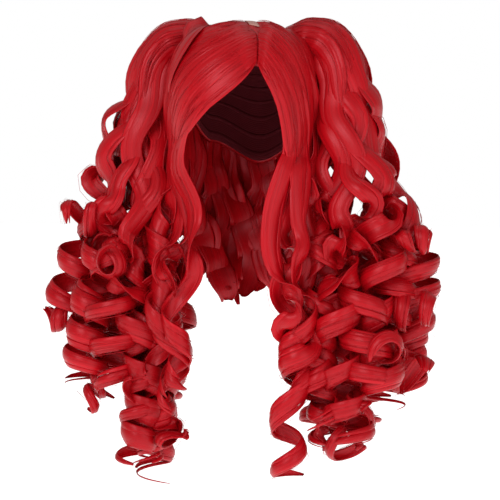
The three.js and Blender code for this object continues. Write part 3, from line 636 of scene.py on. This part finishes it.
# One curl of a ponytail: it comes up to the tuft's skin on its way over the arch and hangs to its end.
def curlPath(side, row, depth, rng):
    root = np.radians(row["root"])
    insets = (9, 8, 7, 5, 3) if depth == 0 else (14, 14, 13, 12, 8)
    shares = (*tuft["lead"], tuft["start"], tuft["leave"])
    lead = [tuftPoint(tuftFrame(side, share), root, np.array([inset]))[0]
            for share, inset in zip(shares, insets)]
    end = hangPoint(side, row["out"], row["ahead"], row["drop"])
    bend = lerp(lead[-1], end, tuft["bendOut"])
    bend[2] = lerp(lead[-1][2], end[2], tuft["bendDown"])
    return lockPath([*lead, bend, end], side, len(tuft["lead"]), tuft["calm"], row["turns"], tuft["opening"],
                    row["curl"] * lockStyle["radius"], row["phase"], row["root"], rng, tuft["ripple"])


back = dict(turns=(108, 252), top=62, nape=100, short=0.55, long=0.62, waveDepth=9, waves=2.2, locks=13,
            width=39,
            rows=90, lift=5)


# One lock of the back hair: down the cap from the crown to the nape and then hanging, with a wave that opens out
# on the way down.
def backPath(turn, reach, phase, lift, rng):
    falls = np.linspace(back["top"] - 22, back["nape"], 5)
    onCap = capPoint(np.full(5, turn), falls, cap["frontInner"] + lift * np.array([0.2, 0.6, 1, 1, 1]))
    nape = onCap[-1]
    outward = unit(np.array([nape[0], nape[1], 0.0]))
    end = -hang["fall"] * reach
    down = [nape + [0, 0, (end - nape[2]) * share] for share in (0.35, 0.7, 1)]
    curve, length = smoothCurve([*onCap, *down])
    at = np.linspace(0, length[-1], back["rows"])
    s = at / length[-1]
    route = alongCurve(curve, length, at)
    hanging = np.clip((s - 0.35) / 0.65, 0, 1)
    wave = back["waveDepth"] * smooth(hanging, 0, 0.5) * np.sin(2 * np.pi * back["waves"] * hanging + phase)
    sideways = np.cross(outward, [0, 0, 1.0])
    sway = (0.8 * back["waveDepth"] * smooth(hanging, 0, 0.5)
            * np.cos(2 * np.pi * back["waves"] * hanging + phase))
    centre = route + wave[:, None] * outward + sway[:, None] * sideways
    tangent = unit(np.gradient(centre, axis=0))
    flat = unit(outward - tangent * (tangent @ outward)[:, None])
    return dict(centre=centre, flat=flat, across=np.cross(tangent, flat), share=s, along=at)


# Value and colour wires of a node tree, with Python's operators for the sums between values.
class Wire:
    def __init__(self, graph, socket):
        self.graph, self.socket = graph, socket

    def math(self, operation, *values):
        return self.graph.node("Math", dict(operation=operation), dict(enumerate(values)))

    def __add__(self, other):
        return self.math("ADD", self, other)

    def __radd__(self, other):
        return self.math("ADD", other, self)

    def __sub__(self, other):
        return self.math("SUBTRACT", self, other)

    def __rsub__(self, other):
        return self.math("SUBTRACT", other, self)

    def __mul__(self, other):
        return self.math("MULTIPLY", self, other)

    def __rmul__(self, other):
        return self.math("MULTIPLY", other, self)



class Graph:
    def __init__(self, name):
        self.material = bpy.data.materials.new(name)
        self.material.use_nodes = True
        self.tree = self.material.node_tree
        self.tree.nodes.clear()

    def node(self, kind, settings=None, inputs=None, output=0):
        made = self.tree.nodes.new("ShaderNode" + kind)
        for name, value in (settings or {}).items():
            if name == "stops":
                for element, (at, colour) in zip(made.color_ramp.elements, value):
                    element.position, element.color = at, colour
            else:
                setattr(made, name, value)
        for name, value in (inputs or {}).items():
            if isinstance(value, Wire):
                self.tree.links.new(value.socket, made.inputs[name])
            else:
                made.inputs[name].default_value = value
        return Wire(self, made.outputs[output] if len(made.outputs) else None)

    def mix(self, factor, a, b):
        return self.node("Mix", dict(data_type="RGBA"), {0: factor, 6: a, 7: b}, 2)

    def stretched(self, source, size, detail=2.0):
        scaled = self.node("VectorMath", dict(operation="MULTIPLY"), {0: source, 1: size})
        return self.node("TexNoise", None,
                         {"Vector": scaled, "Scale": 1.0, "Detail": detail, "Roughness": 0.55})

    def finish(self, **inputs):
        shader = self.node("BsdfPrincipled", None,
                           {key.replace("_", " "): value for key, value in inputs.items()})
        self.node("OutputMaterial", None, {"Surface": shader})
        return self.material


hairColours = dict(deep=(0.24, 0.001, 0.003, 1), middle=(0.47, 0.0015, 0.006, 1),
                   bright=(0.7, 0.007, 0.018, 1))


# Combed strands: noise stretched along the hair in its UV map, fine for single strands and broad for clumps,
# shifts the colour and lifts the surface, and each lock has its own tone.
def hairMaterial(name, strandDepth=0.0005):
    graph = Graph(name)
    uv = graph.node("UVMap", dict(uv_map="UVMap"))
    tone = graph.node("Attribute", dict(attribute_name="tone"), None, 2)
    fine = graph.stretched(uv, (1.3, 0.01, 1), 3.0)
    broad = graph.stretched(uv, (0.24, 0.004, 1), 3.0)
    shade = fine * 0.55 + broad * 0.35 + tone * 0.2
    colour = graph.mix((shade - 0.3) * 2.6, hairColours["deep"], hairColours["middle"])
    colour = graph.mix((shade - 0.6) * 3.2, colour, hairColours["bright"])
    bump = graph.node("Bump", None, {"Strength": 0.5, "Distance": strandDepth,
                                     "Height": fine * 0.6 + broad * 0.6})
    return graph.finish(Base_Color=colour, Roughness=0.27 + 0.18 * fine, Specular_IOR_Level=0.45, Normal=bump,
                        Specular_Tint=(1, 0.42, 0.48, 1))


# Knitted net: two crossed waves in the UV map make its openings, and sewn bands cross it.
def netMaterial():
    graph = Graph("capNet")
    uv = graph.node("UVMap", dict(uv_map="UVMap"))
    u = graph.node("SeparateXYZ", None, {0: uv}, 0)
    v = graph.node("SeparateXYZ", None, {0: uv}, 1)
    mesh = (u * 2.1).math("SINE", u * 2.1) * (v * 2.1).math("SINE", v * 2.1)
    knit = mesh * mesh
    colour = graph.mix(knit, (0.13, 0.008, 0.014, 1), (0.045, 0.002, 0.005, 1))
    bump = graph.node("Bump", None, {"Strength": 0.7, "Distance": 0.0006, "Height": 1 - knit})
    return graph.finish(Base_Color=colour, Roughness=0.85, Normal=bump, Specular_IOR_Level=0.2)


def scalpMaterial():
    graph = Graph("scalpCloth")
    place = graph.node("TexCoord", None, None, 3)
    grain = graph.stretched(place, (900, 900, 900))
    patch = graph.stretched(place, (90, 90, 90))
    colour = graph.mix(grain * 0.5 + patch * 0.5, (0.42, 0.17, 0.14, 1), (0.62, 0.36, 0.3, 1))
    bump = graph.node("Bump", None, {"Strength": 0.3, "Distance": 0.0003, "Height": grain})
    return graph.finish(Base_Color=colour, Roughness=0.62, Normal=bump)


def plasticMaterial():
    graph = Graph("clipPlastic")
    place = graph.node("TexCoord", None, None, 3)
    grain = graph.stretched(place, (400, 400, 400))
    colour = graph.mix(grain, (0.012, 0.008, 0.009, 1), (0.03, 0.018, 0.02, 1))
    bump = graph.node("Bump", None, {"Strength": 0.15, "Distance": 0.0002, "Height": grain})
    return graph.finish(Base_Color=colour, Roughness=0.35 + 0.15 * grain, Normal=bump)


hair = hairMaterial("hairStrands")
net = netMaterial()
scalp = scalpMaterial()
plastic = plasticMaterial()
print("materials made")


# A layer on the cap's form between two lifts, in a grid of turn and share of the way to its edge.
def capLayer(bundle, inside, outside, rows, columns, tone):
    turn = np.linspace(0, 360, columns, endpoint=False)
    edge = readTable(capEdge, "turn", np.minimum(turn, 360 - turn), "drop")
    share = np.linspace(0.02, 1, rows)[:, None]
    outer = capPoint(turn, edge * share, outside(share, turn))
    inner = capPoint(turn, edge * share[::-1], inside(share[::-1], turn))
    rings = np.concatenate([outer, inner])
    length = np.r_[share[:, 0], 2.05 - share[::-1, 0]] * 170
    bundle.add(rings, np.linspace(0, 1, columns + 1) * 560, length, tone)


def makeCap():
    rng = np.random.default_rng(11)
    shell = Bundle()
    level = lambda value: (lambda share, turn: value + 0 * share * turn)
    capLayer(shell, level(0.1), level(cap["wall"]), 40, 96, 0.3)
    for k, drop in enumerate(np.linspace(0.3, 0.97, 9)):
        turn = np.linspace(0, 360, 120, endpoint=False)
        edge = readTable(capEdge, "turn", np.minimum(turn, 360 - turn), "drop")
        height = np.array([-0.012, -0.004, 0.004, 0.012])
        lift = np.array([0.2, -0.45, -0.45, 0.2])
        rings = capPoint(turn[:, None], edge[:, None] * (drop + height), lift)
        closed = np.concatenate([rings, rings[:1]])
        shell.add(closed, np.linspace(0, 8, 5) + 9 * k, np.linspace(0, 560, 121), 0.3)
    shell.finish("cap_net", net, "wig_cap", "cap_net")
    crown = Bundle()
    top = cap["wall"] + cap["gap"]
    ridged = lambda share, turn: (top + cap["crownThickness"] * 0.8
                                  + ridges(turn * 1.5, share, rng, (5.4, 18), 0.6) * smooth(share, 0, 0.2))
    capLayer(crown, level(top), ridged, 30, 132, 0.4)
    for k in range(64):
        turn = 360 * (k + rng.uniform(0.2, 0.8)) / 64 + np.zeros(30)
        share = np.linspace(0.04, rng.uniform(0.96, 1.0), 30)
        edge = readTable(capEdge, "turn", np.minimum(turn % 360, 360 - turn % 360), "drop")
        turn = turn + 3 * wander(share, rng, 1)
        lift = top + cap["crownThickness"] * 0.8 + 0.3 * wander(share, rng, 2)
        centre = capPoint(turn, edge * share, lift)
        tangent = unit(np.gradient(centre, axis=0))
        flat = unit(capPoint(turn, edge * share, lift + 4) - centre)
        flat = unit(flat - tangent * dot(flat, tangent))
        path = dict(centre=centre, flat=flat, across=np.cross(tangent, flat), share=share,
                    along=np.linspace(0, 160, 30))
        ribbon(crown, path, rng.uniform(6, 12) * smooth(share, -0.1, 0.5), 2.2 + 0 * share, 7, rng,
               rng.uniform(0.2, 0.7), 0.25)
    crown.finish("crown_layer", hair, "crown_hair", "hair")
    print("cap and crown made")


def makeParting():
    strip = Bundle()
    share = np.linspace(parting["clothStart"], 1, 16)
    turn, drop = (lerp(*parting[name], share) for name in ("turn", "drop"))
    low, high = cap["frontInner"], cap["frontInner"] + parting["clothThickness"]
    middle = capPoint(turn, drop, 0 * share)
    half = parting["clothWidth"] / 2 - cap["gap"]
    x = np.linspace(-1, 1, 9)
    grid = middle[:, None] + (x * half)[None, :, None] * [1, 0, 0]

    # The same places across, dropped on the form at a lift.
    def onForm(lift):
        wide, deep = ((np.abs(grid[..., k] / (size + lift))) ** cap["roundness"]
                       for k, size in ((0, cap["halfWidth"]), (1, cap["halfLength"])))
        height = (cap["crownHeight"] + lift) * (1 - wide - deep) ** (1 / cap["roundness"])
        return np.concatenate([grid[..., :2], height[..., None] - cap["crownHeight"]], -1)

    rings = np.concatenate([onForm(high), onForm(low)[:, ::-1]], 1)
    strip.add(rings, np.linspace(0, 28, 19), share * 120, 0.5)
    strip.finish("parting_strip", scalp, "parting_skin", "parting_cloth")
    print("parting made")


def makeFront():
    for node, front in fronts.items():
        rng = np.random.default_rng(21 + front["side"])
        sheet = Bundle()
        frontSheet(sheet, front, rng)
        sheet.finish(node + "_sheet", hair, node, "hair")
        for k, lock in enumerate(front["locks"]):
            fall = Bundle()
            frontLock(fall, front, lock, rng)
            fall.finish(f"{node}_lock_{k + 1}", hair, node, "hair")
    print("front hair made")


def makePigtails():
    for name, pigtail in pigtails.items():
        rng = np.random.default_rng(41 + pigtail["side"])
        body = Bundle()
        tuftHair(body, pigtail["side"], pigtail["curls"], rng)
        body.finish(f"{name}_tuft", hair, f"{name}_pigtail", "hair")
        for depth, rows in enumerate((pigtail["curls"], pigtail["inner"])):
            for k, row in enumerate(rows):
                curl = Bundle()
                path = curlPath(pigtail["side"], row, depth, rng)
                lockHair(curl, path, row["width"] * lockStyle["width"], rng, fadeIn=0.12)
                kind = ("curl", "inner_curl")[depth]
                curl.finish(f"{name}_{kind}_{k + 1}", hair, f"{name}_pigtail", "hair")
        for k, row in enumerate(overLocks[name]["locks"]):
            lock = Bundle()
            lockHair(lock, overPath(pigtail["side"], row, rng), over["width"], rng, fadeIn=0.1)
            lock.finish(f"{name}_side_lock_{k + 1}", hair, f"{name}_pigtail", "hair")
        ends = Bundle()
        for kind, level in (("forward", np.array([0.0, 0.0, 1.0])), ("sideways", ahead)):
            for row in tips[name][kind]:
                path = tipPath(pigtail["side"], row, level, rng)
                lockHair(ends, path, row["width"] * lockStyle["width"], rng, 0.8, fadeIn=0.2)
        ends.finish(f"{name}_curled_tips", hair, f"{name}_pigtail", "hair")
    print("pigtails made")


def makeBack():
    rng = np.random.default_rng(61)
    for k, share in enumerate(np.linspace(0, 1, back["locks"])):
        turn = lerp(*back["turns"], lerp(0.03, 0.97, share))
        path = backPath(turn, lerp(back["short"], back["long"], rng.uniform(0, 1)), k * 1.3,
                        back["lift"] + 2 * (k % 2), rng)
        lock = Bundle()
        lockHair(lock, path, back["width"], rng, 1.0, 0.8)
        lock.finish(f"back_lock_{k + 1}", hair, "back_hair", "hair")
    print("back hair made")


makeCap()
makeParting()
makeFront()
makePigtails()
makeBack()
for node in ("left_clip", "right_clip"):
    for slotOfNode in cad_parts[node].material_slots:
        slotOfNode.material = plastic
print("triangles", sum(count for _, count in bundles), "largest", max(bundles, key=lambda item: item[1]))

studio = dict(floor=-1.5, azimuth=12, elevation=3, distance=2.6, frameWidth=0.64, centre=(0.0064, 0, -0.283),
              ambient=0.33)


def makeStudio():
    floorMesh = bpy.data.meshes.new("floor")
    low = studio["floor"]
    floorMesh.from_pydata([(x, y, low) for x, y in ((-30, -30), (30, -30), (30, 30), (-30, 30))], [],
                          [(0, 1, 2, 3)])
    floor = bpy.data.objects.new("floor", floorMesh)
    graph = Graph("paleFloor")
    floorMesh.materials.append(graph.finish(Base_Color=(0.9, 0.9, 0.9, 1), Roughness=0.9,
                                            Emission_Color=(1, 1, 1, 1), Emission_Strength=1.0))
    bpy.context.scene.collection.objects.link(floor)
    world = bpy.data.worlds.new("studio")
    bpy.context.scene.world = world
    world.use_nodes = True
    world.node_tree.nodes["Background"].inputs[0].default_value = (1, 1, 1, 1)
    tree = world.node_tree
    seen = tree.nodes.new("ShaderNodeLightPath")
    strength = tree.nodes.new("ShaderNodeMapRange")
    strength.inputs["To Min"].default_value, strength.inputs["To Max"].default_value = studio["ambient"], 1.0
    tree.links.new(seen.outputs["Is Camera Ray"], strength.inputs["Value"])
    tree.links.new(strength.outputs[0], tree.nodes["Background"].inputs[1])
    bpy.context.scene.view_settings.view_transform = "Standard"
    lamps = (("key", (-0.7, -2.4, 0.9), 1.3, 33), ("fill", (1.9, -1.9, 0.4), 1.8, 17),
             ("top", (0.2, 0.2, 2.0), 1.5, 5))
    for name, place, size, power in lamps:
        lamp = bpy.data.lights.new(name, "AREA")
        lamp.energy, lamp.size = power, size
        light = bpy.data.objects.new(name, lamp)
        light.location = place
        light.rotation_euler = (Vector((0, 0, -0.25)) - Vector(place)).to_track_quat("-Z", "Y").to_euler()
        bpy.context.scene.collection.objects.link(light)
    camera = bpy.data.cameras.new("camera")
    camera.sensor_width, camera.lens = 36, 36 * studio["distance"] / studio["frameWidth"]
    eye = bpy.data.objects.new("camera", camera)
    turn, rise = np.radians(studio["azimuth"]), np.radians(studio["elevation"])
    away = Vector((np.sin(turn) * np.cos(rise), -np.cos(turn) * np.cos(rise), np.sin(rise)))
    eye.location = Vector(studio["centre"]) + away * studio["distance"]
    eye.rotation_euler = (-away).to_track_quat("-Z", "Y").to_euler()
    bpy.context.scene.collection.objects.link(eye)
    bpy.context.scene.camera = eye
    print("studio made")


makeStudio()
